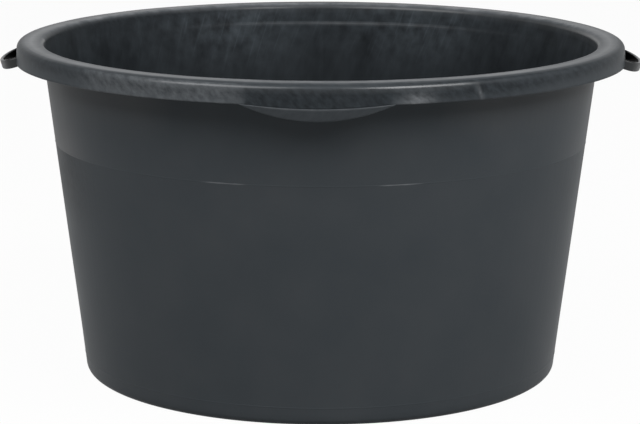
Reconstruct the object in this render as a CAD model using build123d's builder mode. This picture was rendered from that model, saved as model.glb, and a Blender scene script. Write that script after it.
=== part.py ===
from build123d import *
import math
import os

# Cement tub: a round moulded mortar tub with a turned-down rim, a hand grip lip at the front and back,
# a steel hoop in the rim channel and a lifting loop hinged on the hoop at each side.
# Millimetres. +Z is up, the origin is the middle of the foot, -Y is the front, and the loops are at -X and +X.

# Tub: main sizes
rim_diameter = 600.0            # outside of the skirt at its lower edge
rim_width = 27.0                # inside of the wall at the top of the rim, out to the skirt's lower edge
base_diameter = 469.4           # outside of the wall, carried straight down to the ground
tub_height = 330.0
wall = 3.2                      # side wall, measured level
floor = 4.0                     # base plate
flange = 3.5                    # flat top of the rim
skirt = 3.0                     # turned-down outer wall of the rim
skirt_depth = 19.2              # top of the rim to the skirt's lower edge
skirt_flare = 1.0               # draft of the skirt over its depth

# Tub: edges and small relief
shoulder_radius = 6.5
mouth_edge_radius = 1.5
base_edge_radius = 7.0
inside_corner_radius = 6.0
channel_radius = 2.0
skirt_edge_radius = 1.1
foot_width = 20.0               # ring that stands on the ground
foot_height = 2.5               # hollow under the base plate
ledge_drop = 20.0               # top of the rim to the nesting ledge
ledge = 1.0                     # width of the nesting ledge
upper_line_drop = 98.5          # top of the rim to the upper of two fine raised mould lines round the wall
lower_line_height = 17.5
line_relief = 0.4
line_width = 1.6

# Hand grips
grip_chord = 138.0              # length of a grip across the tub
fold_drop = 2.7                 # how far the skirt dips along a grip
lip_drop = 14.8                 # how far the lip hangs below the skirt's lower edge
lip = 3.2                       # thickness of the lip, which hangs from the skirt's inner face
lip_lean = 15.0                 # degrees, inwards going down
lip_root = 5.0                  # height of the lip behind the skirt

# Rim hoop and the ribs that hold it
hoop_wire = 6.0
hoop_inset = 13.0               # skirt's lower edge in to the middle of the wire
hoop_drop = 15.0                # top of the rim to the middle of the wire
rib_pitch = 18.0                # degrees, with no rib at the loops and grips
ribs_per_quarter = 4
rib = 3.0
snap_wrap = 2.0                 # how far a rib reaches below the middle of the wire
snap_clearance = 0.1

# Lifting loops: a flat steel strap on edge, bent to a round bow, with an eye in the head of each leg
strap = 3.6                     # thickness
strap_height = 9.4
strap_edge_radius = 1.5
loop_length = 93.6              # along the rim, outside
loop_projection = 15.8          # past the skirt, to the strap's outer face
bow_depth = 15.9                # how far the round of the bow stands out from the straight legs
eye_head = 13.0                 # round head of a leg
heel = 8.0                      # leg behind the eye
eye_clearance = 0.6             # round the wire
droop = 17.0                    # degrees below level at rest
lift = 17.0                     # degrees of swing up from rest
notch_side = 1.2                # room beside a leg in the skirt
notch_top = 0.8                 # room above a leg that is swung up
stop_gap = 0.4                  # heel to stop rib at rest

# Worked out from the sizes above
rim_r = rim_diameter / 2
mouth_r = rim_r - rim_width
base_r = base_diameter / 2
wall_lean = (mouth_r - ledge + wall - base_r) / tub_height
skirt_bottom = tub_height - skirt_depth
flange_under = tub_height - flange
ledge_height = tub_height - ledge_drop
floor_top = foot_height + floor
shoulder_r = rim_r - skirt_flare
hoop_r = rim_r - hoop_inset
hoop_height = tub_height - hoop_drop
leg_y = (loop_length - strap) / 2
pivot_x = math.sqrt(hoop_r**2 - leg_y**2)


def wall_outside(height):
    """Radius of the wall's outer face, below the ledge."""
    return base_r + wall_lean * height


def skirt_outside(height):
    """Radius of the skirt's outer face, which widens going down."""
    return rim_r + skirt_flare * (skirt_bottom - height) / skirt_depth


def wall_inside(height):
    """Radius of the wall's inner face, below the ledge."""
    return wall_outside(height) - wall


def mould_line(height):
    """Three points of a fine ridge on the wall's outer face."""
    return [
        (wall_outside(height - line_width / 2), height - line_width / 2),
        (wall_outside(height) + line_relief, height),
        (wall_outside(height + line_width / 2), height + line_width / 2),
    ]


def turned(section, rounded):
    """A ring turned from a half section, with the named corners of the section rounded first."""
    with BuildPart() as ring:
        with BuildSketch(Plane.XZ) as half_section:
            with BuildLine():
                Polyline(section, close=True)
            make_face()
            for radius_out, height, radius in rounded:
                fillet(half_section.vertices().sort_by_distance((radius_out, height))[0], radius)
        revolve(axis=Axis.Z)
    return ring


# The moulding is modelled in four nodes that meet at its natural lines: bucket, rim and two grip lips.
# The bucket goes out from the middle of the base, up the outside to the top of the rim and down the inside.
foot_inside = base_r - base_edge_radius - foot_width
neck_r = mouth_r + wall
tub_bucket = turned(
    [
        (0, foot_height),
        (foot_inside, foot_height),
        (foot_inside + foot_height, 0),
        (base_r, 0),
        *mould_line(lower_line_height),
        *mould_line(tub_height - upper_line_drop),
        (wall_outside(ledge_height), ledge_height),
        (wall_outside(ledge_height) + ledge, ledge_height),
        (neck_r, tub_height),
        (mouth_r, tub_height),
        (wall_inside(ledge_height) + ledge, ledge_height),
        (wall_inside(ledge_height), ledge_height),
        (wall_inside(floor_top), floor_top),
        (0, floor_top),
    ],
    [
        (base_r, 0, base_edge_radius),
        (mouth_r, tub_height, mouth_edge_radius),
        (wall_inside(floor_top), floor_top, inside_corner_radius),
    ],
)

# The rim's flange stands out from the neck of the bucket, and its skirt turns down.
rim_ring = turned(
    [
        (wall_outside(flange_under) + ledge, flange_under),
        (skirt_outside(flange_under) - skirt, flange_under),
        (rim_r - skirt, skirt_bottom),
        (rim_r, skirt_bottom),
        (shoulder_r, tub_height),
        (neck_r, tub_height),
    ],
    [
        (skirt_outside(flange_under) - skirt, flange_under, channel_radius),
        (rim_r - skirt, skirt_bottom, skirt_edge_radius),
        (rim_r, skirt_bottom, skirt_edge_radius),
        (shoulder_r, tub_height, shoulder_radius),
    ],
)


def smile(drop):
    """Front outline of a grip: flat on top, with a round lower edge that hangs by drop at the middle."""
    with BuildSketch(Plane.XZ) as outline:
        with BuildLine():
            ThreePointArc(
                (-grip_chord / 2, skirt_bottom),
                (0, skirt_bottom - drop),
                (grip_chord / 2, skirt_bottom),
            )
            Polyline(
                (grip_chord / 2, skirt_bottom),
                (grip_chord / 2, skirt_bottom + lip_root),
                (-grip_chord / 2, skirt_bottom + lip_root),
                (-grip_chord / 2, skirt_bottom),
            )
        make_face()
    return outline.sketch


# The skirt dips along each grip, front and back, on the line of its own faces.
grip_top = skirt_bottom + lip_root
fold = skirt_bottom - fold_drop
with BuildPart() as skirt_dips:
    with BuildSketch(Plane.XZ):
        with BuildLine():
            Polyline(
                (skirt_outside(grip_top) - skirt, grip_top),
                (skirt_outside(grip_top), grip_top),
                (skirt_outside(fold), fold),
                (skirt_outside(fold) - skirt, fold),
                close=True,
            )
        make_face()
    revolve(axis=Axis.Z)
    extrude(smile(fold_drop), amount=2 * rim_r, both=True, mode=Mode.INTERSECT)

# A lip hangs from the skirt's inner face and leans in below the fold, for the fingers to hold.
lip_bottom = skirt_bottom - lip_drop
lip_top_r = skirt_outside(grip_top) - skirt
lip_fold_r = skirt_outside(fold) - skirt
lip_bottom_r = lip_fold_r - (fold - lip_bottom) * math.tan(math.radians(lip_lean))


def grip_lip(side):
    """The lip at the front (side -1) or the back (side 1)."""
    with BuildPart() as hanging_lip:
        with BuildSketch(Plane.XZ):
            with BuildLine():
                Polyline(
                    (lip_top_r - lip, grip_top),
                    (lip_top_r, grip_top),
                    (lip_fold_r, fold),
                    (lip_bottom_r, lip_bottom),
                    (lip_bottom_r - lip, lip_bottom),
                    (lip_fold_r - lip, fold),
                    close=True,
                )
            make_face()
        revolve(axis=Axis.Z)
        extrude(smile(lip_drop), amount=-2 * side * rim_r, mode=Mode.INTERSECT)
    return hanging_lip


front_grip_lip = grip_lip(-1)
back_grip_lip = grip_lip(1)

# A rib ties the skirt to the wall under the flange, and the hoop snaps into its lower edge.
rib_bottom = hoop_height - snap_wrap
rib_top = flange_under + flange / 2
rib_into_wall = (ledge - wall) / 2
with BuildPart() as channel_rib:
    with BuildSketch(Plane.XZ):
        with BuildLine():
            Polyline(
                (wall_outside(rib_bottom) + rib_into_wall, rib_bottom),
                (skirt_outside(rib_bottom) - skirt / 2, rib_bottom),
                (skirt_outside(flange_under) - skirt / 2, flange_under),
                (skirt_outside(flange_under) - skirt - channel_radius, rib_top),
                (wall_outside(rib_top) + rib_into_wall, rib_top),
                close=True,
            )
        make_face()
        with Locations((hoop_r, hoop_height)):
            Circle(hoop_wire / 2 + snap_clearance, mode=Mode.SUBTRACT)
    extrude(amount=rib / 2, both=True)

# The heel of a leg rises as its loop droops, and comes to rest under a stop rib.
droop_sin = math.sin(math.radians(droop))
droop_cos = math.cos(math.radians(droop))
heel_top = (
    hoop_height
    + (heel - strap_edge_radius) * droop_sin
    + (strap_height / 2 - strap_edge_radius) * droop_cos
    + strap_edge_radius
)
stop_bottom = heel_top + stop_gap
stop_middle = (stop_bottom + rib_top) / 2
stop_inner_x = math.sqrt((wall_outside(stop_middle) + ledge) ** 2 - leg_y**2) - wall / 2
stop_length = pivot_x - stop_inner_x

# A notch in the skirt lets a leg swing from its droop up to its highest place. Its sides point at the axis.
top_angle = math.radians(lift - droop)
notch_height = (
    hoop_height
    + (rim_r - pivot_x) * max(math.tan(top_angle), 0)
    + strap_height / 2 / math.cos(top_angle)
    + notch_top
)
notch_bottom = skirt_bottom - skirt
notch_r = rim_r - skirt / 2
notch_angle = math.degrees(math.asin(leg_y / notch_r))
notch_width = strap + 2 * notch_side + skirt * leg_y / pivot_x
notch_arc = math.degrees(notch_width / notch_r)
with BuildPart() as notch:
    with BuildSketch(Plane.XZ):
        with Locations((notch_r, (notch_bottom + notch_height) / 2)):
            Rectangle(4 * skirt, notch_height - notch_bottom)
    revolve(axis=Axis.Z, revolution_arc=notch_arc)

with BuildPart() as tub_rim:
    add(rim_ring.part)
    add(skirt_dips.part)
    for place in range(1, ribs_per_quarter + 1):
        with PolarLocations(0, 4, start_angle=place * rib_pitch):
            add(channel_rib.part)
    with BuildSketch(Plane.XY.offset(stop_bottom)):
        with GridLocations(2 * pivot_x - stop_length, 2 * leg_y, 2, 2):
            Rectangle(stop_length, rib)
    extrude(amount=rib_top - stop_bottom)
    for angle in (notch_angle, -notch_angle):
        with PolarLocations(0, 2, start_angle=angle - notch_arc / 2):
            add(notch.part, mode=Mode.SUBTRACT)
    add(tub_bucket.part, mode=Mode.SUBTRACT)

with BuildPart() as rim_hoop:
    with BuildSketch(Plane.XZ):
        with Locations((hoop_r, hoop_height)):
            Circle(hoop_wire / 2)
    revolve(axis=Axis.Z)


def lifting_loop(side):
    """A loop at -X (side -1) or +X (side 1), drooping from its eyes on the hoop."""
    bow_plane = Plane(
        origin=(side * pivot_x, 0, hoop_height),
        x_dir=(side * droop_cos, 0, -droop_sin),
        z_dir=(side * droop_sin, 0, droop_cos),
    )
    bow_start = (rim_r + loop_projection - pivot_x) / droop_cos - strap / 2 - bow_depth
    with BuildPart() as loop:
        with BuildSketch(bow_plane):
            with BuildLine():
                Line((-heel, -leg_y), (bow_start, -leg_y))
                EllipticalCenterArc((bow_start, 0), bow_depth, leg_y, start_angle=-90, arc_size=180)
                Line((bow_start, leg_y), (-heel, leg_y))
            trace(line_width=strap)
        extrude(amount=strap_height / 2, both=True)
        fillet(loop.faces().filter_by(bow_plane).edges(), strap_edge_radius)
        with BuildSketch(Plane.XZ.offset(leg_y), Plane.XZ.offset(-leg_y)):
            with Locations((side * pivot_x, hoop_height)):
                Circle(eye_head / 2)
        extrude(amount=strap / 2, both=True)
        with BuildSketch(Plane.XZ):
            with Locations((side * pivot_x, hoop_height)):
                Circle(hoop_wire / 2 + eye_clearance)
        extrude(amount=loop_length, both=True, mode=Mode.SUBTRACT)
    return loop


left_lifting_loop = lifting_loop(-1)
right_lifting_loop = lifting_loop(1)

os.makedirs("parts", exist_ok=True)
tub_bucket.part.label = "tub_bucket"
export_step(tub_bucket.part, "parts/tub_bucket.step")
tub_rim.part.label = "tub_rim"
export_step(tub_rim.part, "parts/tub_rim.step")
front_grip_lip.part.label = "front_grip_lip"
export_step(front_grip_lip.part, "parts/front_grip_lip.step")
back_grip_lip.part.label = "back_grip_lip"
export_step(back_grip_lip.part, "parts/back_grip_lip.step")
rim_hoop.part.label = "rim_hoop"
export_step(rim_hoop.part, "parts/rim_hoop.step")
left_lifting_loop.part.label = "left_lifting_loop"
export_step(left_lifting_loop.part, "parts/left_lifting_loop.step")
right_lifting_loop.part.label = "right_lifting_loop"
export_step(right_lifting_loop.part, "parts/right_lifting_loop.step")
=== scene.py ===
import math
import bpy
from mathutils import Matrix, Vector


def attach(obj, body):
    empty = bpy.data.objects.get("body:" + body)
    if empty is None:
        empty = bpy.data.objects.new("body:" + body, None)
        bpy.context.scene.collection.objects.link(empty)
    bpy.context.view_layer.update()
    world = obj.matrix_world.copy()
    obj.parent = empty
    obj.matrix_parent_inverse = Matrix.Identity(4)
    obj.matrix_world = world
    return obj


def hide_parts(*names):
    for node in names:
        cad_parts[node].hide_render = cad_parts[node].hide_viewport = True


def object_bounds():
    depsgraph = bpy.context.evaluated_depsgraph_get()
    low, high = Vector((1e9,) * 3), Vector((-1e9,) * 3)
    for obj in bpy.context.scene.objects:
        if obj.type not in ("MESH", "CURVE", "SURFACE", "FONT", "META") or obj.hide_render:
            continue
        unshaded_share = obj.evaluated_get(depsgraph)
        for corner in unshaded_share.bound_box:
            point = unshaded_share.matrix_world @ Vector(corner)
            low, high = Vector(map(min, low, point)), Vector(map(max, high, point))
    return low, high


bl_info = {
    "name": "Cement tub",
    "version": (1, 0, 0),
    "blender": (4, 5, 0),
    "location": "View3D > Sidebar > Tub",
    "description": "Dresses a moulded mortar tub with a steel rim hoop and two lifting loops",
    "category": "Object",
}

from types import SimpleNamespace

import bpy
import numpy as np
from bpy.props import FloatProperty, FloatVectorProperty, PointerProperty
from mathutils import Matrix

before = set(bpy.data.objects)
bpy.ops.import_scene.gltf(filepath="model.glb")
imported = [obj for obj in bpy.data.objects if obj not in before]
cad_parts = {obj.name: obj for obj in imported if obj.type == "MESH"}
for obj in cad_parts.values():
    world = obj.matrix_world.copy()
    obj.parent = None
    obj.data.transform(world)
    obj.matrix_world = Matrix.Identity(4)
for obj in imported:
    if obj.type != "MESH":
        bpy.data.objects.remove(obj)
cad_low, cad_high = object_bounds()

# Point attributes of the moulding: where its inside is, wear on its skin, and painted light and shade.
MASKS = ("inside", "rubbed", "burnished", "painted_shade", "scuffed", "haze_and_painted_light")

# Angle of a nick in the skirt, counted from the front towards +X.
NICK = 0.506

# How far a rib runs into the plastic round it, so that no gap shows.
SUNK = 0.0008

# Columns of the surface along a grip.
GRIP_COLUMNS = 71


def linear(hex_colour):
    """sRGB hex to linear: c / 12.92 up to 0.04045, and ((c + 0.055) / 1.055) to the power 2.4 above."""
    srgb = np.array([int(hex_colour[i : i + 2], 16) for i in (1, 3, 5)]) / 255
    curve = np.where(srgb > 0.04045, ((srgb + 0.055) / 1.055) ** 2.4, srgb / 12.92)
    return tuple(float(c) for c in curve)


def length(name, description, default):
    """A size in metres, shown in the scene's length unit."""
    return FloatProperty(name=name, description=description, default=default, unit="LENGTH", precision=5)


def colour(name, description, hex_colour):
    """A colour, given as sRGB hex and kept linear."""
    unshaded_share = {"name": name, "description": description, "subtype": "COLOR"}
    return FloatVectorProperty(default=linear(hex_colour), size=3, min=0, max=1, **unshaded_share)


class TubSizes(bpy.types.PropertyGroup):
    """Sizes of the moulding, nearly those of the solids it covers."""

    rim_radius: length("Rim radius", "Outside of the skirt at its lower edge", 0.300)
    rim_width: length("Rim width", "Mouth out to the skirt's lower edge", 0.027)
    base_radius: length("Base radius", "Outside of the wall at the ground", 0.2347)
    height: length("Height", "Ground to the top of the rim", cad_high.z)
    wall: length("Wall", "Thickness of the side wall", 0.0032)
    floor: length("Floor", "Thickness of the base plate", 0.004)
    flange: length("Flange", "Thickness of the rim's flat top", 0.0035)
    skirt: length("Skirt", "Thickness of the rim's turned-down edge", 0.003)
    skirt_depth: length("Skirt depth", "Top of the rim to the skirt's lower edge", 0.0192)
    skirt_flare: length("Skirt flare", "Draft of the skirt over its depth", 0.001)
    skirt_edge: length("Skirt edge", "Round at the skirt's lower edge", 0.0011)
    shoulder: length("Shoulder radius", "Round between the flange and the skirt", 0.0052)
    channel: length("Channel radius", "Round in the channel under the flange", 0.002)
    crown_width: length("Crown width", "Skirt's lower edge in to where the flange falls", 0.0085)
    crown_drop: length("Crown drop", "Fall of the flange towards the shoulder", 0.0018)
    crown_edge: length("Crown edge", "Round where the flange starts to fall", 0.004)
    mouth_edge: length("Mouth edge", "Round between the flange and the inside", 0.006)
    base_edge: length("Base edge", "Round between the wall and the ground", 0.007)
    inside_corner: length("Inside corner radius", "Round between the wall and the floor", 0.006)
    foot_width: length("Foot width", "Ring that stands on the ground", 0.020)
    foot_height: length("Foot height", "Hollow under the base plate", 0.0025)
    foot_edge: length("Foot edge", "Round at the inner edge of the foot", 0.001)
    ledge_drop: length("Ledge drop", "Top of the rim to the nesting ledge", 0.020)
    ledge: length("Ledge", "Width of the nesting ledge", 0.001)
    ledge_edge: length("Ledge edge", "Round at the ledge's edges outside", 0.0003)
    ledge_slope: length("Ledge slope", "Height of the ledge's slope inside", 0.0028)
    slope_edge: length("Slope edge", "Round at the ends of the slope inside", 0.001)
    upper_line: length("Upper line height", "Ground to the upper mould line", 0.2315)
    lower_line: length("Lower line height", "Ground to the lower mould line", 0.0175)
    line_relief: length("Line relief", "How far a mould line stands out", 0.0002)
    line_width: length("Line width", "Width of a mould line", 0.0016)
    line_edge: length("Line edge", "Round at a mould line's edges", 0.0005)
    grip_chord: length("Grip chord", "Length of a grip across the tub", 0.138)
    fold_drop: length("Fold drop", "How far the skirt dips along a grip", 0.0035)
    side_dip: length("Side dip", "How far the skirt dips beside the loops", 0.0022)
    lip_drop: length("Lip drop", "Hang of a grip lip below the skirt", 0.0148)
    lip: length("Lip", "Thickness of a grip lip", 0.0042)
    lip_edge: length("Lip edge", "Round at the lower edge of a grip lip", 0.0012)
    lip_lean: FloatProperty(
        name="Lip lean", description="Inward lean of a grip lip", default=math.radians(15), subtype="ANGLE"
    )
    panel_depth: length("Panel depth", "How far the skirt is pressed in along a grip", 0.0009)
    hoop_inset: length("Hoop inset", "Skirt in to the middle of the wire", 0.013)
    hoop_drop: length("Hoop drop", "Rim's top to the middle of the hoop's wire", 0.015)
    snap: length("Snap radius", "Hollow in a rib that holds the hoop", 0.0031)
    snap_wrap: length("Snap wrap", "Reach of a rib below the middle of the wire", 0.002)
    rib: length("Rib", "Thickness of a rib under the rim", 0.003)
    leg_offset: length("Leg offset", "Tub's middle to the middle of a loop's leg", 0.045)
    notch_width: length("Notch width", "Cut in the skirt for a leg", 0.00648)
    notch_top: length("Notch top", "Ground to the top of a notch", 0.3205)
    stop_bottom: length("Stop height", "Ground to the underside of a stop rib", 0.32186)
    unevenness: length("Unevenness", "Slow waves left as the moulding cooled", 0.0005)


class TubColours(bpy.types.PropertyGroup):
    """Colours of the finishes."""

    plastic: colour("Plastic", "Dark blue-grey polyethylene", "#31363A")
    # The pale colour also stands for painted highlights and painted light on the skin.
    pale_wear_and_light: colour("Worn plastic", "Polyethylene rubbed or scuffed pale", "#8F9194")
    zinc: colour("Zinc", "Galvanised wire of the hoop", "#A9ACAD")
    coating: colour("Coating", "Dark coating on the lifting loops", "#1E2021")
    steel: colour("Bare steel", "Steel where the coating is rubbed off", "#9A9C9E")
    ground: colour("Ground", "Pale studio floor", "#BDBDBB")


def bump(distance, width):
    """A soft mark: exp(-(distance / width) squared)."""
    return np.exp(-((distance / width) ** 2))


def band(distance, half, fade):
    """A mark with a flat top: 1 out to half on each side of its middle, and a bump's slope beyond."""
    return bump(np.maximum(np.abs(distance) - half, 0), fade)


def ramp(value, start, end):
    """0 before start, 1 past end, and a straight climb between them."""
    return np.clip((value - start) / (end - start), 0, 1)


def rounded_section(corners, steps):
    """Half section with its corners rounded.

    Each corner is (radius from the axis, height, round). The arc starts round * tan(half the turn) before
    the corner, its centre is one round away to the side the line turns to, and its points turn evenly.
    """
    corner, bend = corners[:, :2], corners[:, 2:]
    ahead = np.diff(corner, axis=0)
    ahead /= np.linalg.norm(ahead, axis=1, keepdims=True)
    before, after = np.vstack([ahead[:1], ahead]), np.vstack([ahead, ahead[-1:]])
    cross = before[:, 0] * after[:, 1] - before[:, 1] * after[:, 0]
    turn = np.arctan2(cross, np.sum(before * after, axis=1))[:, None]
    start = corner - before * bend * np.tan(np.abs(turn) / 2)
    left = np.stack([-before[:, 1], before[:, 0]], axis=1)
    centre = start + left * bend * np.sign(turn)
    arm = start - centre
    angle = turn * np.linspace(0, 1, steps)
    points = np.stack(
        [
            centre[:, :1] + arm[:, :1] * np.cos(angle) - arm[:, 1:] * np.sin(angle),
            centre[:, 1:] + arm[:, :1] * np.sin(angle) + arm[:, 1:] * np.cos(angle),
        ],
        axis=2,
    ).reshape(-1, 2)
    apart = np.linalg.norm(np.diff(points, axis=0), axis=1) > 1e-7
    return points[np.r_[True, apart]]


def divided(points, step):
    """A line of points with each run cut into equal parts no longer than step."""
    run = np.diff(points, axis=0)
    parts = np.ceil(np.linalg.norm(run, axis=1) / step).astype(int)
    which = np.repeat(np.arange(len(run)), parts)
    share = (np.arange(parts.sum()) - np.repeat(np.cumsum(parts) - parts, parts)) / parts[which]
    return np.vstack([points[which] + run[which] * share[:, None], points[-1:]])


def distances(points):
    """Distance along a line from its first point to each of its points."""
    return np.r_[0, np.cumsum(np.linalg.norm(np.diff(points, axis=0), axis=1))]


def slow_wave(angle, height, seed):
    """Smooth unevenness from 0 to 1: eight sine waves with seeded phases round and up the tub, added up."""
    waves = 8
    dice = np.random.default_rng(seed)
    around = dice.integers(2, 13, waves)[:, None, None]
    upward = dice.uniform(2, 16, waves)[:, None, None]
    phase = dice.uniform(0, 2 * math.pi, waves)[:, None, None]
    return 0.5 + np.sin(around * angle + upward * height + phase).sum(axis=0) / (2 * waves)


def smile(chord, drop, across):
    """Depth of a round lower edge: a circle through the chord's ends that hangs by drop at the middle."""
    circle = (chord**2 / 4 + drop**2) / (2 * drop)
    inside = np.abs(across) < chord / 2
    return np.where(inside, np.sqrt(np.maximum(circle**2 - across**2, 0)) - (circle - drop), 0)


def levels(s):
    """The mouth's radius, and the heights that the surfaces of the moulding share."""
    return SimpleNamespace(
        mouth=s.rim_radius - s.rim_width,
        top=s.height,
        knee=s.height - s.crown_drop - s.shoulder,
        under=s.height - s.flange,
        skirt_bottom=s.height - s.skirt_depth,
        ledge=s.height - s.ledge_drop,
        floor=s.foot_height + s.floor,
    )


def outside_wall(s, height):
    """Radius of the wall's outer face below the ledge, which grows evenly with the height."""
    lean = (s.rim_radius - s.rim_width - s.ledge + s.wall - s.base_radius) / s.height
    return s.base_radius + lean * height


def inside_wall(s, height):
    """Radius of the wall's inner face below the ledge."""
    return outside_wall(s, height) - s.wall


def skirt_face(s, height):
    """Radius of the skirt's outer face, which widens going down."""
    return s.rim_radius + s.skirt_flare * (s.height - s.skirt_depth - height) / s.skirt_depth


def wall_section(s):
    """Half section of bucket and rim: from under the base up the outside, over the rim and down the inside.

    A corner without a round is there to end a mark or a stretch. The points are at most 10 mm apart. Their
    radius, height and distance along the section are given as columns, without the two ends on the axis.
    """
    at = levels(s)
    foot_in = s.base_radius - s.base_edge - s.foot_width
    half_line, half_slope, beyond = s.line_width / 2, s.ledge_slope / 2, 0.004
    lines = [
        (outside_wall(s, z + shift) + rise, z + shift, s.line_edge)
        for z in (s.lower_line, s.upper_line)
        for shift, rise in ((-half_line, 0), (0, s.line_relief), (half_line, 0))
    ]
    skirt_heights = (at.skirt_bottom + 0.003, at.knee - 0.005, at.knee - 0.002)
    inside = [
        (at.top - s.mouth_edge, s.ledge, 0),
        (at.ledge + beyond, s.ledge, 0),
        (at.ledge + half_slope, s.ledge, s.slope_edge),
        (at.ledge - half_slope, 0, s.slope_edge),
        (at.ledge - beyond, 0, 0),
        (at.floor, 0, s.inside_corner),
    ]
    corners = np.array(
        [
            (0, s.foot_height, 0),
            (foot_in, s.foot_height, s.foot_edge),
            (foot_in + s.foot_height, 0, s.foot_edge),
            (s.base_radius, 0, s.base_edge),
            *lines,
            (outside_wall(s, at.ledge), at.ledge, s.ledge_edge),
            (outside_wall(s, at.ledge) + s.ledge, at.ledge, s.ledge_edge),
            (outside_wall(s, at.under) + s.ledge, at.under, s.channel),
            (skirt_face(s, at.under) - s.skirt, at.under, s.channel),
            (s.rim_radius - s.skirt, at.skirt_bottom, s.skirt_edge),
            (s.rim_radius, at.skirt_bottom, s.skirt_edge),
            *[(skirt_face(s, z), z, 0) for z in skirt_heights],
            (s.rim_radius - s.skirt_flare, at.top - s.crown_drop, s.shoulder),
            (s.rim_radius - s.crown_width, at.top, s.crown_edge),
            (at.mouth + s.mouth_edge, at.top, 0),
            (at.mouth, at.top, s.mouth_edge),
            *[(inside_wall(s, z) + ledge, z, bend) for z, ledge, bend in inside],
            (0, at.floor, 0),
        ]
    )
    points = divided(rounded_section(corners, steps=7), step=0.010)[1:-1]
    return SimpleNamespace(radius=points[:, :1], height=points[:, 1:], run=distances(points)[:, None])


def reach(line, radius, height):
    """Distance along the section to its point nearest to the given place."""
    return line.run[np.argmin(np.hypot(line.radius - radius, line.height - height)), 0]


def mark(line, radius, height, width):
    """A soft mark along the section, round its point nearest to the given place."""
    return bump(line.run - reach(line, radius, height), width)


def rim_angles(s):
    """Angles of the surface's columns, counted from the front towards +X.

    They are even round the tub and finer along the grips and just past their ends. A close pair stands at
    each side of a notch, and a few at the nick.
    """
    grip = 1.06 * np.arcsin(s.grip_chord / 2 / s.rim_radius)
    fine = np.linspace(-grip, grip, GRIP_COLUMNS)
    even = np.linspace(-math.pi, math.pi, 300, endpoint=False)
    even = even[np.abs(np.sin(even)) > np.sin(grip)]
    angle = np.sort(np.r_[even, fine, fine + math.pi])
    angle = (angle + math.pi) % (2 * math.pi) - math.pi

    half_pair, nick_step, clearance = 1.5e-4, 0.004, 0.006
    sides = np.arcsin((s.leg_offset + s.notch_width * np.array([-0.5, 0.5])) / s.rim_radius)
    cuts = (sides[:, None] + np.array([-half_pair, half_pair])).ravel()
    cuts = (np.array([-0.5, 0.5])[:, None] * math.pi + np.r_[cuts, -cuts]).ravel()
    extra = np.r_[cuts, NICK + nick_step * np.arange(-2, 3)]
    angle = angle[np.abs(angle[:, None] - extra).min(axis=1) > clearance]
    return np.unique(np.r_[angle, extra])


def grip_panel(s, angle):
    """1 along the panels that are pressed into the skirt at the front and back grips."""
    return band(s.rim_radius * np.sin(angle), 0.45 * s.grip_chord, 0.003)


def clear_ledge(angle):
    """1 at the back, a little right of its middle, where the ledge inside is crisp."""
    return np.where(np.cos(angle) < 0, bump(np.sin(angle) - 0.10, 0.40), 0)


def outer_face(s, line):
    """True on the skirt's outer face, below the shoulder."""
    return (line.radius > s.rim_radius - 0.0016) & (line.height < levels(s).knee)


def wall_form(s, line, angle):
    """Radius and height at every row and column: the section, with what changes round the tub.

    The skirt's rows stretch from the knee below its shoulder to its lower edge, which dips by the smile at
    a grip and by a soft bump beside a loop, and stops at the top of a notch.
    """
    at = levels(s)
    edge = at.skirt_bottom - smile(s.grip_chord, s.fold_drop, s.rim_radius * np.sin(angle))
    edge = edge - s.side_dip * bump(np.abs(angle) - math.pi / 2, 0.35)
    from_leg = np.abs(s.rim_radius * np.cos(angle)) - s.leg_offset
    edge = np.where(np.abs(from_leg) < s.notch_width / 2, s.notch_top, edge)
    on_skirt = (line.radius > s.rim_radius - s.skirt - 0.002) & (line.height < at.knee)
    pulled = at.knee - (at.knee - line.height) / (at.knee - at.skirt_bottom) * (at.knee - edge)
    tall = np.where(on_skirt, pulled, line.height) + 0 * angle
    wide = line.radius + np.where(on_skirt, skirt_face(s, tall) - skirt_face(s, line.height), 0)

    # The ledge is crisp at the back and melts into the wall towards the loops.
    spread = 0.013
    near_ledge = (line.run > reach(line, at.mouth, at.top)) & (np.abs(line.height - at.ledge) < spread)
    melted = inside_wall(s, line.height) + s.ledge * ramp(line.height, at.ledge - spread, at.ledge + spread)
    share = 1 - np.clip(1.4 * clear_ledge(angle), 0, 1)
    wide = wide + np.where(near_ledge, (melted - line.radius) * share, 0)

    # The skirt's face is pressed in a little along a grip.
    pressed = s.panel_depth * grip_panel(s, angle) * ramp(tall, at.knee, at.knee - 0.004)
    wide = wide - np.where(outer_face(s, line), pressed, 0)

    # As it cooled, the wall drew in unevenly, and the rim sank by up to half as much.
    drawn = slow_wave(angle, tall, seed=4) * ramp(line.height, 0, 0.05)
    sunk = slow_wave(2 * angle, 6 * line.radius, seed=9) * ramp(line.height, at.ledge, at.top)
    return wide - s.unevenness * drawn, tall - 0.5 * s.unevenness * sunk


def inside_rows(s, line):
    """1 from just past the mouth's edge down the inside."""
    start = reach(line, levels(s).mouth, s.height)
    return ramp(line.run, start, start + 0.004)


def outside_rows(s, line):
    """True on the outside of the bucket, up to the ledge."""
    ledge = levels(s).ledge
    return line.run < reach(line, outside_wall(s, ledge), ledge)


def skirt_rows(s, line):
    """True on the skirt and the rounds at its edges, as seen from outside."""
    return (line.radius > s.rim_radius - 0.004) & (line.height > levels(s).skirt_bottom - 0.001)


def bright_mouth(angle):
    """1 where the mouth's edge is burnished, which is all round but for the left of the back."""
    return np.where(np.cos(angle) > 0, 1, ramp(np.sin(angle), -0.42, -0.22))


def line_ends(angle):
    """1 near the left loop, less near the right: painted shade below the upper line, painted light above.
    """
    return np.clip(1.6 * bump(angle + 1.35, 0.28), 0, 1) + 0.30 * bump(angle - 1.25, 0.20)


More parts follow.
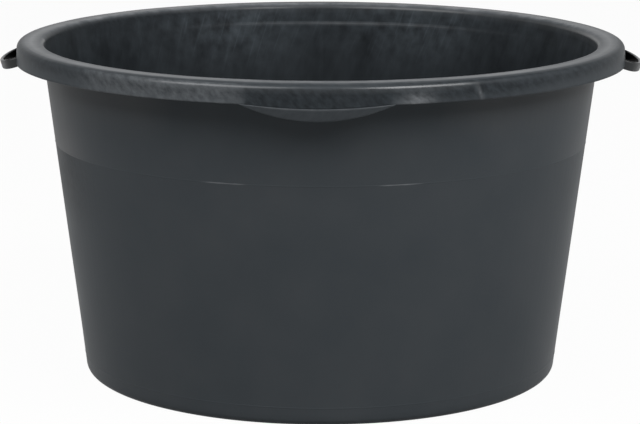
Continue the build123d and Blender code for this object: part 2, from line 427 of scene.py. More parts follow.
def rubs_and_painted_highlights(s, line, angle):
    """A rubbed nick in the skirt; painted highlights on flange, inside ledge and upper line's two dashes.
    """
    at = levels(s)
    front, left = bump(angle, 0.35), bump(angle + math.pi / 2, 0.6)
    back = ramp(-np.cos(angle), 0, 0.5)
    flange = mark(line, at.mouth + 0.010, at.top, 0.007)
    broad_flange = mark(line, at.mouth + 0.012, at.top, 0.009)
    flange_inner = mark(line, at.mouth + 0.0045, at.top, 0.003)
    ledge = mark(line, inside_wall(s, at.ledge) + s.ledge / 2, at.ledge, 0.0007)
    nick_height = at.top - 0.013
    nick = bump(angle - NICK + line.height - nick_height, 0.005)
    nick = nick * mark(line, s.rim_radius, nick_height, 0.007)
    dashes = sum(band(angle - middle, 0.05, 0.02) for middle in (-0.330, 0.287))
    dashes = dashes * mark(line, outside_wall(s, s.upper_line), s.upper_line, 0.0004)
    return (
        (0.14 + 0.10 * front) * flange
        + 0.07 * left * broad_flange
        + 0.46 * back * flange_inner
        + 0.14 * clear_ledge(angle) * ledge
        + 0.26 * nick
        + 0.36 * dashes
    )


def burnished_skin(s, line, angle):
    """Skin polished by hands and other tubs: the rim's crest, the flange's sides and the mouth's edge."""
    at, side = levels(s), np.sin(angle)
    crest_ends = 1 - ramp(side, 0.43, 0.49) - ramp(-side, 0.40, 0.58)
    crest = (0.6 + 0.4 * bump(angle - 0.26, 0.13)) * crest_ends
    burnished = (
        crest * mark(line, s.rim_radius - 0.0020, at.top - 0.0035, 0.0035)
        + 0.3 * ramp(np.abs(side), 0, 0.5) * mark(line, at.mouth + 0.010, at.top, 0.008)
        + 0.5 * bright_mouth(angle) * mark(line, at.mouth, at.top - 0.0035, 0.0030)
    )
    return np.clip(burnished, 0, 1)


def painted_skin_shade(s, line, angle):
    """Painted shade: darker grip panels, round edges of rim and base, and wall below the upper line."""
    at = levels(s)
    loops = ramp(np.abs(np.sin(angle)), 0.60, 0.85)
    around_panel = (line.radius > s.rim_radius - 0.004) & (line.height < at.knee + 0.003)
    panel = grip_panel(s, angle) * np.where(outer_face(s, line), 1, 0.6 * around_panel)
    low_wall = outside_rows(s, line) & (line.height < s.upper_line)
    below_line = low_wall * ramp(line.height, s.upper_line - 0.080, s.upper_line - 0.030)
    base_edge = mark(line, s.base_radius - 0.002, 0.002, 0.004)
    crown = mark(line, s.rim_radius - 0.0052, at.top - 0.0012, 0.0024)
    shoulder = mark(line, s.rim_radius - 0.002, at.top - 0.0045, 0.005)
    skirt_top = mark(line, s.rim_radius, at.knee - 0.002, 0.005)
    skirt_edge = mark(line, s.rim_radius, at.skirt_bottom, 0.0014)
    mouth_edge = mark(line, at.mouth - 0.0005, at.top - 0.005, 0.004)
    painted_shade = (
        panel
        + 0.9 * line_ends(angle) * below_line
        + 0.6 * base_edge
        + 0.70 * crown
        + 0.80 * loops * shoulder
        + (0.75 - 0.45 * loops) * skirt_top
        + 0.70 * loops * skirt_edge
        + 0.55 * bump(angle - 0.48, 0.22) * skirt_rows(s, line)
        + 0.80 * (1 - bright_mouth(angle)) * mouth_edge
    )
    return np.clip(painted_shade, 0, 1)


def scuffed_skin(s, line, angle, tall):
    """Pale scuffs on the skirt: mottled on its left, and in one low patch right of the front grip."""
    knee = levels(s).knee
    low_patch = bump(angle - 0.300, 0.045) * ramp(tall, knee, knee - 0.008)
    scuffs = 0.03 + 0.65 * band(angle + 0.51, 0.20, 0.10) + 1.6 * low_patch
    return np.where(skirt_rows(s, line), scuffs * (1 - 0.8 * grip_panel(s, angle)), 0)


def painted_light_and_haze(s, line, angle):
    """Painted light: the inside's top in patches, and near the loops under the rim and above the upper
    line.
    """
    at, side = levels(s), np.sin(angle)
    clouds = 0.5 + 1.3 * bump(side + 0.38, 0.22) + 0.9 * bump(side - 0.36, 0.22)
    top_inside = inside_rows(s, line) * ramp(line.height, at.top - 0.080, at.top - 0.015)
    under_rim = ramp(line.height, at.skirt_bottom - 0.045, at.skirt_bottom)
    above_line = (line.height > s.upper_line) * ramp(line.height, at.skirt_bottom, at.skirt_bottom - 0.075)
    painted_lift = 0.50 * under_rim * ramp(np.abs(side + 0.04), 0.44, 0.58) + 0.75 * above_line * line_ends(angle)
    return top_inside * clouds + outside_rows(s, line) * painted_lift


def turned_faces(rows, columns):
    """Faces of a surface turned about the axis: quads between rows, and a fan to the pole at each end."""
    number = np.arange(rows * columns).reshape(rows, columns)
    onward = np.roll(number, -1, axis=1)
    quads = np.stack([number[:-1], onward[:-1], onward[1:], number[1:]], axis=2).reshape(-1, 4)
    first, last = np.full(columns, rows * columns), np.full(columns, rows * columns + 1)
    under = np.stack([first, onward[0], number[0]], axis=1)
    inside = np.stack([last, number[-1], onward[-1]], axis=1)
    return [quads, np.vstack([under, inside])]


def turned_uv(s, line, angle):
    """UVs in metres for the corners of the turned faces: round the rim, and along the section."""
    around = np.r_[angle, angle[0] + 2 * math.pi] * s.rim_radius
    run = line.run[:, 0]
    row, column = np.arange(len(run) - 1)[:, None, None], np.arange(len(angle))[:, None]
    quads = (around[column + np.array([0, 1, 1, 0])], run[row + np.array([0, 0, 1, 1])])
    fans = (around[column + np.array([[[0, 1, 0]], [[0, 0, 1]]])], run[[0, -1]][:, None, None])
    return np.vstack([np.stack(np.broadcast_arrays(*uv), axis=-1).reshape(-1, 2) for uv in (quads, fans)])


def tub_wall(s):
    """The bucket and rim as one closed surface: the half section turned about the axis.

    A point is (radius * sin(angle), -radius * cos(angle), height), so that angles count from the front. A
    point on the axis closes each end.
    """
    line, angle = wall_section(s), rim_angles(s)
    wide, tall = wall_form(s, line, angle)
    rows, columns = wide.shape
    floor = levels(s).floor
    points = np.stack([wide * np.sin(angle), -wide * np.cos(angle), tall], axis=2).reshape(-1, 3)
    points = np.vstack([points, [(0, 0, s.foot_height), (0, 0, floor)]])
    faces = turned_faces(rows, columns)

    # The floor inside is mapped flat, so that its pattern doesn't run to a point in the middle.
    on_floor = line.run[:-1, 0] >= reach(line, inside_wall(s, floor) - s.inside_corner, floor)
    on_floor = np.r_[np.repeat(on_floor, 4 * columns), np.repeat([False, True], 3 * columns)]
    flat = points[np.concatenate([f.ravel() for f in faces]), :2]
    uv = np.where(on_floor[:, None], flat, turned_uv(s, line, angle))

    masks = {
        "inside": inside_rows(s, line),
        "rubbed": rubs_and_painted_highlights(s, line, angle),
        "burnished": burnished_skin(s, line, angle),
        "painted_shade": painted_skin_shade(s, line, angle),
        "scuffed": scuffed_skin(s, line, angle, tall),
        "haze_and_painted_light": painted_light_and_haze(s, line, angle),
    }
    masks = {name: np.r_[np.broadcast_to(mask, wide.shape).ravel(), 0, 0] for name, mask in masks.items()}
    masks["inside"][-1] = 1
    return points, faces, masks, uv


def grip_lip(s, side):
    """A lip under the skirt, at the front (side -1) or back (side 1): a rounded plate along the grip.

    At each angle it hangs from the fold, where the skirt's dipped edge ends, down to the lip's own smile.
    Its face starts flush with the skirt, a little proud of the pressed-in panel, and leans in going down.
    """
    skirt_bottom = levels(s).skirt_bottom
    half = np.arcsin(s.grip_chord / 2 / s.rim_radius)
    angle = np.linspace(-half, half, GRIP_COLUMNS)
    across = s.rim_radius * np.sin(angle)
    fold = skirt_bottom - smile(s.grip_chord, s.fold_drop, across)
    least_drop = 0.0001
    drop = fold - skirt_bottom + smile(s.grip_chord, s.lip_drop, across) + least_drop

    # The plate's corners: out from the skirt's face, up from the fold, and the round.
    tall, face = s.lip_drop - s.fold_drop, -0.0002
    overlap, overlap_edge = 0.0004, 0.0003
    root, hidden = 0.0015, -0.0013
    plate = np.array(
        [
            (hidden, root, 0),
            (hidden, overlap, 0),
            (face, overlap, overlap_edge),
            (face, -tall, s.lip_edge),
            (-s.lip, -tall, s.lip_edge),
            (-s.lip, root, 0),
        ]
    )
    section = divided(rounded_section(plate, steps=7), step=0.002)
    level = section[:, 1:]
    height = fold + np.where(level > 0, level, level / tall * drop)
    wide = skirt_face(s, fold) + section[:, :1] - np.maximum(fold - height, 0) * math.tan(s.lip_lean)
    turned = angle if side < 0 else angle + math.pi
    points = np.stack([wide * np.sin(turned), -wide * np.cos(turned), height], axis=2).reshape(-1, 3)

    number = np.arange(wide.size).reshape(wide.shape)
    ring = np.vstack([number, number[:1]])
    quads = np.stack([ring[:-1, :-1], ring[1:, :-1], ring[1:, 1:], ring[:-1, 1:]], axis=2).reshape(-1, 4)
    faces = [quads, np.stack([number[::-1, 0], number[:, -1]])]
    u, v = np.broadcast_arrays(across, distances(section)[:, None])
    uv = np.stack([u.ravel(), v.ravel()], axis=1)[np.concatenate([f.ravel() for f in faces])]

    blank = np.zeros(wide.shape)
    # Painted highlight along the lip's upper edge, and a little painted shade over the whole lip.
    upper_edge = blank + 0.14 * bump(level - overlap, 0.0009) * (section[:, :1] > -0.001)
    masks = dict.fromkeys(MASKS, blank) | {"rubbed": upper_edge, "burnished": upper_edge}
    masks |= {"painted_shade": blank + 0.25, "scuffed": blank + 0.1}
    return points, faces, {name: mask.ravel() for name, mask in masks.items()}, uv


def plates(outline, normal, out, middle, thickness):
    """Flat plates of one outline of (r, z) points.

    A point is middle + out * r + z up, moved by half the thickness along the normal to each side.
    """
    count, corners = len(middle), len(outline)
    up = np.array([0, 0, 1])
    flat = middle[:, None] + out[:, None] * outline[None, :, :1] + up * outline[None, :, 1:]
    shift = normal[:, None] * thickness / 2
    points = np.stack([flat - shift, flat + shift], axis=1).reshape(-1, 3)
    number = np.arange(count * 2 * corners).reshape(count, 2, corners)
    near, far = number[:, 0], number[:, 1]
    onward = np.roll(number, -1, axis=2)
    sides = np.stack([near, far, onward[:, 1], onward[:, 0]], axis=2).reshape(-1, 4)
    faces = [sides, near, far[:, ::-1]]
    uv = points[np.concatenate([f.ravel() for f in faces])][:, [0, 2]]
    return points, faces, dict.fromkeys(MASKS, np.zeros(len(points))), uv


def channel_ribs(s):
    """Sixteen ribs under the flange, each with a round hollow in its lower edge for the hoop."""
    hoop_radius, hoop_height = s.rim_radius - s.hoop_inset, s.height - s.hoop_drop
    bottom, top = hoop_height - s.snap_wrap, levels(s).under + SUNK
    wall_bottom, wall_top = (outside_wall(s, z) + s.ledge - SUNK for z in (bottom, top))
    skirt_inside = s.rim_radius - s.skirt + SUNK / 2
    past_level = math.asin(s.snap_wrap / s.snap)
    turn = np.linspace(math.pi + past_level, -past_level, 21)
    hollow = np.stack([hoop_radius + s.snap * np.cos(turn), hoop_height + s.snap * np.sin(turn)], axis=1)
    outer_end = [(skirt_inside, bottom), (skirt_inside - SUNK, top)]
    outline = np.vstack([(wall_bottom, bottom), hollow, outer_end, (wall_top, top)])
    quarter = np.radians(np.arange(18, 73, 18))
    angle = (quarter[:, None] + np.arange(4) * math.pi / 2).ravel()
    out = np.stack([np.cos(angle), np.sin(angle), 0 * angle], axis=1)
    normal = np.stack([-np.sin(angle), np.cos(angle), 0 * angle], axis=1)
    return plates(outline, normal, out, np.zeros_like(out), s.rib)


def stop_ribs(s):
    """Four short ribs under the flange, over the heels of the loops."""
    pivot = math.sqrt((s.rim_radius - s.hoop_inset) ** 2 - s.leg_offset**2)
    neck = levels(s).mouth + s.wall - SUNK
    into_wall = 0.0006
    inner = math.sqrt(neck**2 - s.leg_offset**2) - into_wall
    top = levels(s).under + SUNK
    outline = np.array([(inner, s.stop_bottom), (pivot, s.stop_bottom), (pivot, top), (inner, top)])
    side, leg = np.array([-1, 1, -1, 1]), np.array([-1, -1, 1, 1])
    out = np.stack([side, 0 * side, 0 * side], axis=1)
    normal = np.stack([0 * side, side, 0 * side], axis=1)
    middle = np.stack([0 * side, leg * s.leg_offset, 0 * side], axis=1)
    return plates(outline, normal, out, middle, s.rib)


def shell_object(name, shells):
    """One mesh object, smooth but for sharp edges, from closed shells of (points, faces, masks, UVs)."""
    points = np.vstack([shell[0] for shell in shells])
    starts = np.cumsum([0] + [len(shell[0]) for shell in shells])[:-1]
    faces = [f + start for shell, start in zip(shells, starts) for f in shell[1]]
    sizes = np.concatenate([np.full(len(f), f.shape[1]) for f in faces])
    corners = np.concatenate([f.ravel() for f in faces])
    uvs = np.vstack([shell[3] for shell in shells])
    mesh = bpy.data.meshes.new(name)
    mesh.vertices.add(len(points))
    mesh.vertices.foreach_set("co", points.ravel())
    mesh.loops.add(len(corners))
    mesh.loops.foreach_set("vertex_index", corners)
    mesh.polygons.add(len(sizes))
    mesh.polygons.foreach_set("loop_start", np.cumsum(sizes) - sizes)
    mesh.polygons.foreach_set("use_smooth", np.ones(len(sizes), bool))
    mesh.uv_layers.new(name="surface").data.foreach_set("uv", uvs.ravel())
    for mask in MASKS:
        values = np.concatenate([shell[2][mask] for shell in shells])
        mesh.attributes.new(mask, "FLOAT", "POINT").data.foreach_set("value", values)
    mesh.update()
    mesh.set_sharp_from_angle(angle=math.radians(40))
    if mesh.validate():
        raise RuntimeError(f"the mesh of {name} has faults")
    made = bpy.data.objects.new(name, mesh)
    bpy.context.scene.collection.objects.link(made)
    return made


def shade(colour, factor=1.0):
    """A colour socket's value: the colour times the factor, opaque."""
    return [factor * value for value in colour] + [1]


def add(tree, kind, sockets=None, **settings):
    """Adds a shader node of the kind, with its settings.

    A socket takes a value, or a link given as (node, output). A Mix node's sockets go by number: 0 is the
    factor, 6 and 7 are colours with output 2, and 2 and 3 are plain values with output 0.
    """
    made = tree.nodes.new("ShaderNode" + kind)
    for name, value in settings.items():
        setattr(made, name, value)
    for name, value in (sockets or {}).items():
        if isinstance(value, tuple) and isinstance(value[0], bpy.types.Node):
            tree.links.new(value[0].outputs[value[1]], made.inputs[name])
        else:
            made.inputs[name].default_value = value
    return made


def new_material(name):
    """A material with an empty node tree."""
    material = bpy.data.materials.new(name)
    material.use_nodes = True
    material.node_tree.nodes.clear()
    return material, material.node_tree


def moulded_polyethylene(c):
    """Recycled polyethylene, injection moulded.

    To the eye it is a dark blue-grey with a dull satin skin, cloudy in tone, with painted light in places.
    The inside, painted darker as shade, is streaked up and down where it left the core, with a haze and
    thin slanting strokes on top. Edges are burnished, a nick is rubbed pale, edges carry painted
    highlights, the rim is scuffed, and painted shade darkens the grip panels and round edges.
    """
    material, tree = new_material("moulded_polyethylene")
    place = add(tree, "TexCoord")
    inside, rubbed, burnished, painted_shade, scuffed, haze_and_painted_light = (
        add(tree, "Attribute", attribute_name=name) for name in MASKS
    )

    # Size in metres and detail of the clouds, the grain, a haze's spots and the runs of a rubbed edge.
    clouds, grain, spots, runs = (
        add(tree, "TexNoise", {"Vector": (place, "Object"), "Scale": 1 / size, "Detail": detail})
        for size, detail in ((0.060, 4.0), (0.0025, 2.0), (0.014, 5.0), (0.012, 3.0))
    )

    # Strokes on the surface: two sizes in metres, lean in degrees, detail and roughness.
    strokes = (
        (0.034, 0.080, 0, 2.0, 0.50),  # broad bands up the wall
        (0.006, 0.070, 0, 4.0, 0.50),  # fine streaks up the wall
        (0.050, 0.007, 64, 4.0, 0.50),  # slanting smears
        (0.050, 0.003, 68, 2.0, 0.50),  # thin slanting strokes
        (0.009, 0.005, -36, 6.0, 0.62),  # scuffs on the rim, down to the right
    )
    stroked = []
    for wide, tall, lean, detail, rough in strokes:
        laid = add(
            tree,
            "Mapping",
            {"Vector": (place, "UV"), "Rotation": (0, 0, math.radians(lean)), "Scale": (wide, tall, 1)},
            vector_type="TEXTURE",
        )
        pattern = {"Vector": (laid, "Vector"), "Scale": 1.0, "Detail": detail, "Roughness": rough}
        stroked.append(add(tree, "TexNoise", pattern))
    bands, fine, smears, hairs, scratches = stroked

    # The skin outside: clouds, lightened by painted light where the haze mask is set.
    clouds_and_painted_light = add(tree, "Math", {0: (clouds, "Fac"), 1: 0.33, 2: (haze_and_painted_light, "Fac")}, operation="MULTIPLY_ADD")
    skin_tone = add(
        tree,
        "Mix",
        {0: (clouds_and_painted_light, "Value"), 6: shade(c.plastic, 0.86), 7: shade(c.pale_wear_and_light, 0.23)},
        data_type="RGBA",
    )

    # The skin inside, painted darker as shade: bands, smears and streaks added up, lifted by spots and thin
    # strokes.
    smeared = add(tree, "Math", {0: (smears, "Fac"), 1: 0.35, 2: (bands, "Fac")}, operation="MULTIPLY_ADD")
    drawn = add(tree, "Math", {0: (fine, "Fac"), 1: 0.30, 2: (smeared, "Value")}, operation="MULTIPLY_ADD")
    streak = add(
        tree,
        "MapRange",
        {"Value": (drawn, "Value"), "From Min": 0.58, "From Max": 1.08, "To Min": 0.08, "To Max": 0.36},
    )
    mottle = add(tree, "MapRange", {"Value": (spots, "Fac"), "From Min": 0.30, "From Max": 0.72})
    thin = add(
        tree,
        "MapRange",
        {"Value": (hairs, "Fac"), "From Min": 0.56, "From Max": 0.72, "To Max": 0.45},
    )
    marred = add(tree, "Math", {0: (mottle, "Result"), 1: (thin, "Result")}, operation="ADD")
    # Spots and strokes show only where the haze mask paints light near the top.
    lit_haze = add(tree, "Math", {0: (haze_and_painted_light, "Fac"), 1: (marred, "Value")}, operation="MULTIPLY")
    core = add(tree, "Math", {0: (lit_haze, "Value"), 1: 0.55, 2: (streak, "Result")}, operation="MULTIPLY_ADD")
    shaded_inside_tone = add(
        tree,
        "Mix",
        {0: (core, "Value"), 6: shade(c.plastic, 0.18), 7: shade(c.plastic, 1.20)},
        data_type="RGBA",
    )
    tone = add(tree, "Mix", {0: (inside, "Fac"), 6: (skin_tone, 2), 7: (shaded_inside_tone, 2)}, data_type="RGBA")

    # Painted shade: where that mask is set, the skin is darker and keeps its scratches.
    clear = add(tree, "MapRange", {"Value": (scratches, "Fac"), "From Min": 0.30, "From Max": 0.70})
    shade_tone = add(
        tree,
        "Mix",
        {0: (clear, "Result"), 6: shade(c.plastic, 0.30), 7: shade(c.plastic, 0.74)},
        data_type="RGBA",
    )
    shaded_tone = add(tree, "Mix", {0: (painted_shade, "Fac"), 6: (tone, 2), 7: (shade_tone, 2)}, data_type="RGBA")

    # The rim is scuffed pale; the rubbed mask paints a pale nick and painted highlights on edges, in runs.
    chafed = add(
        tree,
        "MapRange",
        {"Value": (scratches, "Fac"), "From Min": 0.22, "From Max": 0.85, "To Max": 0.30},
    )
    scuff = add(tree, "Math", {0: (chafed, "Result"), 1: (scuffed, "Fac")}, operation="MULTIPLY")
    broken = add(
        tree,
        "MapRange",
        {"Value": (runs, "Fac"), "From Min": 0.35, "From Max": 0.70, "To Min": 0.40},
    )
    edges = add(tree, "Math", {0: (broken, "Result"), 1: (rubbed, "Fac")}, operation="MULTIPLY")
    pale = add(tree, "Math", {0: (scuff, "Value"), 1: (edges, "Value")}, operation="ADD", use_clamp=True)
    finish = add(tree, "Mix", {0: (pale, "Value"), 6: (shaded_tone, 2), 7: shade(c.pale_wear_and_light)}, data_type="RGBA")

    # Burnished edges are smoother and brighter than the dull skin.
    satin = add(tree, "MapRange", {"Value": (clouds, "Fac"), "To Min": 0.38, "To Max": 0.52})
    roughness = add(tree, "Mix", {0: (burnished, "Fac"), 2: (satin, "Result"), 3: 0.16}, data_type="FLOAT")
    specular = add(tree, "MapRange", {"Value": (burnished, "Fac"), "To Min": 0.05, "To Max": 0.42})
    relief = add(tree, "Math", {0: (grain, "Fac"), 1: 0.35, 2: (fine, "Fac")}, operation="MULTIPLY_ADD")
    skin = add(tree, "Bump", {"Strength": 0.12, "Distance": 0.0006, "Height": (relief, "Value")})
    surface = add(
        tree,
        "BsdfPrincipled",
        {
            "Base Color": (finish, 2),
            "Roughness": (roughness, 0),
            "Specular IOR Level": (specular, "Result"),
            "Normal": (skin, "Normal"),
        },
    )
    add(tree, "OutputMaterial", {"Surface": (surface, "BSDF")})
    return material


def galvanised_wire(c):
    """Hot-dip galvanised steel wire: pale grey metal with zinc crystals and a dull white bloom."""
    material, tree = new_material("galvanised_wire")
    place = add(tree, "TexCoord")

    # Crystals about 5 mm across, and a bloom of 20 mm.
    crystals = add(tree, "TexVoronoi", {"Vector": (place, "Object"), "Scale": 1 / 0.005})
    bloom = add(tree, "TexNoise", {"Vector": (place, "Object"), "Scale": 1 / 0.020, "Detail": 4.0})
    tone = add(
        tree,
        "Mix",
        {0: (crystals, "Distance"), 6: shade(c.zinc), 7: shade(c.zinc, 0.6)},
        data_type="RGBA",
    )
    dull = add(tree, "MapRange", {"Value": (bloom, "Fac"), "To Min": 0.30, "To Max": 0.62})
    skin = add(tree, "Bump", {"Strength": 0.2, "Distance": 0.0003, "Height": (bloom, "Fac")})
    surface = add(
        tree,
        "BsdfPrincipled",
        {
            "Base Color": (tone, 2),
            "Metallic": 0.9,
            "Roughness": (dull, "Result"),
            "Normal": (skin, "Normal"),
        },
    )
    add(tree, "OutputMaterial", {"Surface": (surface, "BSDF")})
    return material


def coated_steel(c, centre):
    """Strip steel under a dark coating, for a loop round the given centre.

    To the eye it is dull grey, with its faces turned into the loop and its upper faces painted near-black
    as shade. At the round of the bow its edges are bare and pale in patches: wear, and a painted highlight.
    """
    material, tree = new_material("coated_steel")
    place = add(tree, "TexCoord")

    # A face looks inwards where its normal points towards the middle of the loop.
    arm = add(tree, "VectorMath", {0: (place, "Object"), 1: centre}, operation="SUBTRACT")
    outward = add(tree, "VectorMath", {0: (arm, "Vector"), 1: (place, "Normal")}, operation="DOT_PRODUCT")
    outside = add(tree, "MapRange", {"Value": (outward, "Value"), "From Min": -0.008, "From Max": 0.002})
    facing = add(tree, "SeparateXYZ", {0: (place, "Normal")})
    upper = add(
        tree,
        "MapRange",
        {"Value": (facing, "Z"), "From Min": 0.45, "From Max": 0.80, "To Min": 1.0, "To Max": 0.15},
    )
    unshaded_share = add(tree, "Math", {0: (outside, "Result"), 1: (upper, "Result")}, operation="MULTIPLY")
    # Inward and upward faces painted near-black: painted shade.
    shaded_face_tone = add(
        tree,
        "Mix",
        {0: (unshaded_share, "Value"), 6: shade(c.coating, 0.12), 7: shade(c.coating)},
        data_type="RGBA",
    )

    # At the round of the bow, edges are bare in patches of 6 mm: hook wear, and a painted highlight.
    patches = add(tree, "TexNoise", {"Vector": (place, "Object"), "Scale": 1 / 0.006, "Detail": 6.0})
    level = add(tree, "Math", {0: (facing, "Z")}, operation="ABSOLUTE")
    edge = add(tree, "MapRange", {"Value": (level, "Value"), "From Min": 0.45, "From Max": 0.85})
    along = add(tree, "SeparateXYZ", {0: (arm, "Vector")})
    out = add(tree, "Math", {0: (along, "X")}, operation="ABSOLUTE")
    tip = add(tree, "MapRange", {"Value": (out, "Value"), "From Min": 0.008, "From Max": 0.016})
    worn_and_lit_edges = add(tree, "Math", {0: (edge, "Result"), 1: (tip, "Result")}, operation="MULTIPLY")
    bare = add(tree, "Math", {0: (worn_and_lit_edges, "Value"), 1: (patches, "Fac")}, operation="MULTIPLY")
    tone = add(tree, "Mix", {0: (bare, "Value"), 6: (shaded_face_tone, 2), 7: shade(c.steel)}, data_type="RGBA")
    dull = add(tree, "MapRange", {"Value": (patches, "Fac"), "To Min": 0.30, "To Max": 0.55})
    shine = add(tree, "MapRange", {"Value": (unshaded_share, "Value"), "To Min": 0.05, "To Max": 0.3})
    skin = add(tree, "Bump", {"Strength": 0.15, "Distance": 0.0003, "Height": (patches, "Fac")})
    surface = add(
        tree,
        "BsdfPrincipled",
        {
            "Base Color": (tone, 2),
            "Metallic": (bare, "Value"),
            "Roughness": (dull, "Result"),
            "Specular IOR Level": (shine, "Result"),
            "Normal": (skin, "Normal"),
        },
    )
    add(tree, "OutputMaterial", {"Surface": (surface, "BSDF")})
    return material


def seen_directly(tree):
    """1 for rays from the camera and those passed on by glossy and clear surfaces, 0 for soft light."""
    ray = add(tree, "LightPath")
    passed_on = {0: (ray, "Is Glossy Ray"), 1: (ray, "Is Transmission Ray")}
    mirrored = add(tree, "Math", passed_on, operation="MAXIMUM")
    return add(tree, "Math", {0: (ray, "Is Camera Ray"), 1: (mirrored, "Value")}, operation="MAXIMUM")


def paper_sweep(c):
    """Matt paper: pale grey in the light it throws back, and white to look at but for a soft shadow."""
    material, tree = new_material("paper_sweep")
    paper = add(tree, "BsdfDiffuse", {"Color": shade(c.ground)})
    glow = add(tree, "Emission", {"Color": (1, 1, 1, 1), "Strength": 1.0})
    share = add(tree, "Math", {0: (seen_directly(tree), "Value"), 1: 0.965}, operation="MULTIPLY")
    surface = add(tree, "MixShader", {0: (share, "Value"), 1: (paper, "BSDF"), 2: (glow, "Emission")})
    add(tree, "OutputMaterial", {"Surface": (surface, "Shader")})
    return material


class TUB_OT_moulding(bpy.types.Operator):
    """Make the tub's moulding: bucket, rim, grip lips and ribs in one piece"""

    bl_idname = "tub.moulding"
    bl_label = "Moulding"
    bl_options = {"REGISTER", "UNDO"}

    def execute(self, context):
        s = context.scene.tub_sizes
        shells = [tub_wall(s), grip_lip(s, -1), grip_lip(s, 1), channel_ribs(s), stop_ribs(s)]
        made = shell_object("tub_moulding", shells)
        made.data.materials.append(moulded_polyethylene(context.scene.tub_colours))
        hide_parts("tub_bucket", "tub_rim", "front_grip_lip", "back_grip_lip")
        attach(made, "tub")
        return {"FINISHED"}


class TUB_OT_hoop(bpy.types.Operator):
    """Finish the wire hoop under the rim"""

    bl_idname = "tub.hoop"
    bl_label = "Rim hoop"
    bl_options = {"REGISTER", "UNDO"}

    def execute(self, context):
        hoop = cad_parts["rim_hoop"]
        hoop.data.materials[0] = galvanised_wire(context.scene.tub_colours)
        return {"FINISHED"}


class TUB_OT_loops(bpy.types.Operator):
    """Finish the two lifting loops"""

    bl_idname = "tub.loops"
    bl_label = "Lifting loops"
    bl_options = {"REGISTER", "UNDO"}

    def execute(self, context):
        s = context.scene.tub_sizes
        behind_skirt, below_hoop = 0.003, 0.004
        out, height = s.rim_radius - behind_skirt, s.height - s.hoop_drop - below_hoop
        for node, side in (("left_lifting_loop", -1), ("right_lifting_loop", 1)):
            steel = coated_steel(context.scene.tub_colours, (side * out, 0, height))
            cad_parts[node].data.materials[0] = steel
        return {"FINISHED"}


def paper_floor(c):
    """A square of paper under the tub, far wider than the view."""
    far = 9
    mesh = bpy.data.meshes.new("ground")
    mesh.from_pydata([(-far, -far, 0), (far, -far, 0), (far, far, 0), (-far, far, 0)], [], [(0, 1, 2, 3)])
    mesh.materials.append(paper_sweep(c))
    ground = bpy.data.objects.new("ground", mesh)
    bpy.context.scene.collection.objects.link(ground)
    return ground


def softbox(name, azimuth, elevation, power):
    """A wide lamp near the camera, aimed at the tub's middle. Azimuth counts from the front towards +X."""
    turn, rise = math.radians(azimuth), math.radians(elevation)
    distance, aim_height = 2.2, 0.17
    lamp = bpy.data.lights.new(name, "AREA")
    lamp.shape = "RECTANGLE"
    lamp.size, lamp.size_y = 1.8, 1.1
    lamp.energy = power
    made = bpy.data.objects.new(name, lamp)
    made.location = (
        distance * math.cos(rise) * math.sin(turn),
        -distance * math.cos(rise) * math.cos(turn),
        aim_height + distance * math.sin(rise),
    )
    made.rotation_euler = (math.pi / 2 - rise, 0, turn)
    bpy.context.scene.collection.objects.link(made)


def white_room():
    """A world that looks white low down and dim overhead, with soft light mostly from the sides."""
    world = bpy.data.worlds.new("white_room")
    world.use_nodes = True
    tree = world.node_tree
    tree.nodes.clear()
    place = add(tree, "TexCoord")
    split = add(tree, "SeparateXYZ", {0: (place, "Generated")})
    looked_at = add(
        tree,
        "MapRange",
        {"Value": (split, "Z"), "From Min": 0.30, "From Max": 0.50, "To Min": 1.0, "To Max": 0.12},
    )
    sideways = add(tree, "Math", {0: (split, "X"), 1: (split, "X")}, operation="MULTIPLY")
    soft = add(tree, "MapRange", {"Value": (sideways, "Value"), "To Min": 0.06, "To Max": 0.70})
    strength = add(
        tree,
        "Mix",
        {0: (seen_directly(tree), "Value"), 2: (soft, "Result"), 3: (looked_at, "Result")},
        data_type="FLOAT",
    )
    sky = add(tree, "Background", {"Color": (1, 1, 1, 1), "Strength": (strength, 0)})
    add(tree, "OutputWorld", {"Surface": (sky, "Background")})
    return world


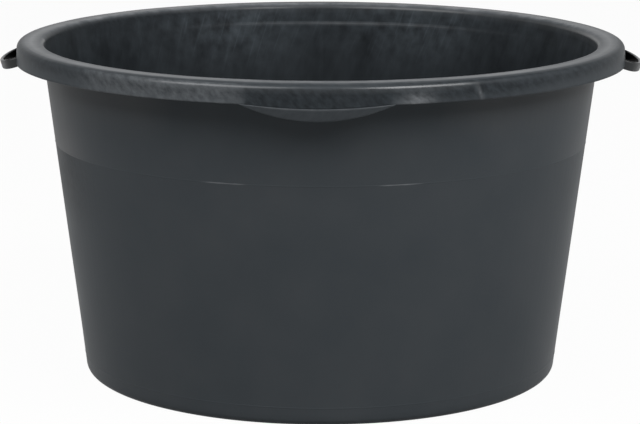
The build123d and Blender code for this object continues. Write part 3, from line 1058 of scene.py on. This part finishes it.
def photo_camera():
    """The camera as fitted to the photograph: a little to the right, tilted down and barely rolled."""
    distance, height = 2.5446, 0.6810
    turn, tilt, roll = math.radians(0.6), math.radians(11.700), math.radians(0.15)
    camera = bpy.data.objects.new("camera", bpy.data.cameras.new("camera"))
    camera.data.sensor_width = 36
    camera.data.lens = 145.81
    camera.data.shift_x = -0.0006
    camera.location = (distance * math.sin(turn), -distance * math.cos(turn), height)
    turned, rolled = Matrix.Rotation(turn, 3, "Z"), Matrix.Rotation(roll, 3, "Z")
    tilted = Matrix.Rotation(math.pi / 2 - tilt, 3, "X")
    camera.rotation_euler = (turned @ tilted @ rolled).to_euler()
    bpy.context.scene.collection.objects.link(camera)
    return camera


class TUB_OT_stage(bpy.types.Operator):
    """Set the pale floor, the soft light and the camera"""

    bl_idname = "tub.stage"
    bl_label = "Stage"
    bl_options = {"REGISTER", "UNDO"}

    def execute(self, context):
        scene = context.scene
        paper_floor(scene.tub_colours)
        softbox("left_softbox", azimuth=-46, elevation=46, power=44)
        softbox("right_softbox", azimuth=48, elevation=40, power=53)
        scene.world = white_room()
        scene.camera = photo_camera()
        scene.view_settings.view_transform = "Standard"
        return {"FINISHED"}


class TUB_PT_panel(bpy.types.Panel):
    """Sizes, colours and steps of the cement tub"""

    bl_idname = "TUB_PT_panel"
    bl_label = "Cement tub"
    bl_space_type = "VIEW_3D"
    bl_region_type = "UI"
    bl_category = "Tub"

    def draw(self, context):
        for group in (context.scene.tub_sizes, context.scene.tub_colours):
            column = self.layout.column()
            for name in group.bl_rna.properties.keys():
                if name not in {"rna_type", "name"}:
                    column.prop(group, name)
        for step in STEPS:
            self.layout.operator(step.bl_idname)


STEPS = (TUB_OT_moulding, TUB_OT_hoop, TUB_OT_loops, TUB_OT_stage)
CLASSES = (TubSizes, TubColours, *STEPS, TUB_PT_panel)


def register():
    for cls in CLASSES:
        bpy.utils.register_class(cls)
    bpy.types.Scene.tub_sizes = PointerProperty(type=TubSizes)
    bpy.types.Scene.tub_colours = PointerProperty(type=TubColours)


def unregister():
    del bpy.types.Scene.tub_colours
    del bpy.types.Scene.tub_sizes
    for cls in reversed(CLASSES):
        bpy.utils.unregister_class(cls)


def main():
    register()
    bpy.ops.tub.moulding()
    bpy.ops.tub.hoop()
    bpy.ops.tub.loops()
    bpy.ops.tub.stage()


if __name__ == "__main__":
    main()
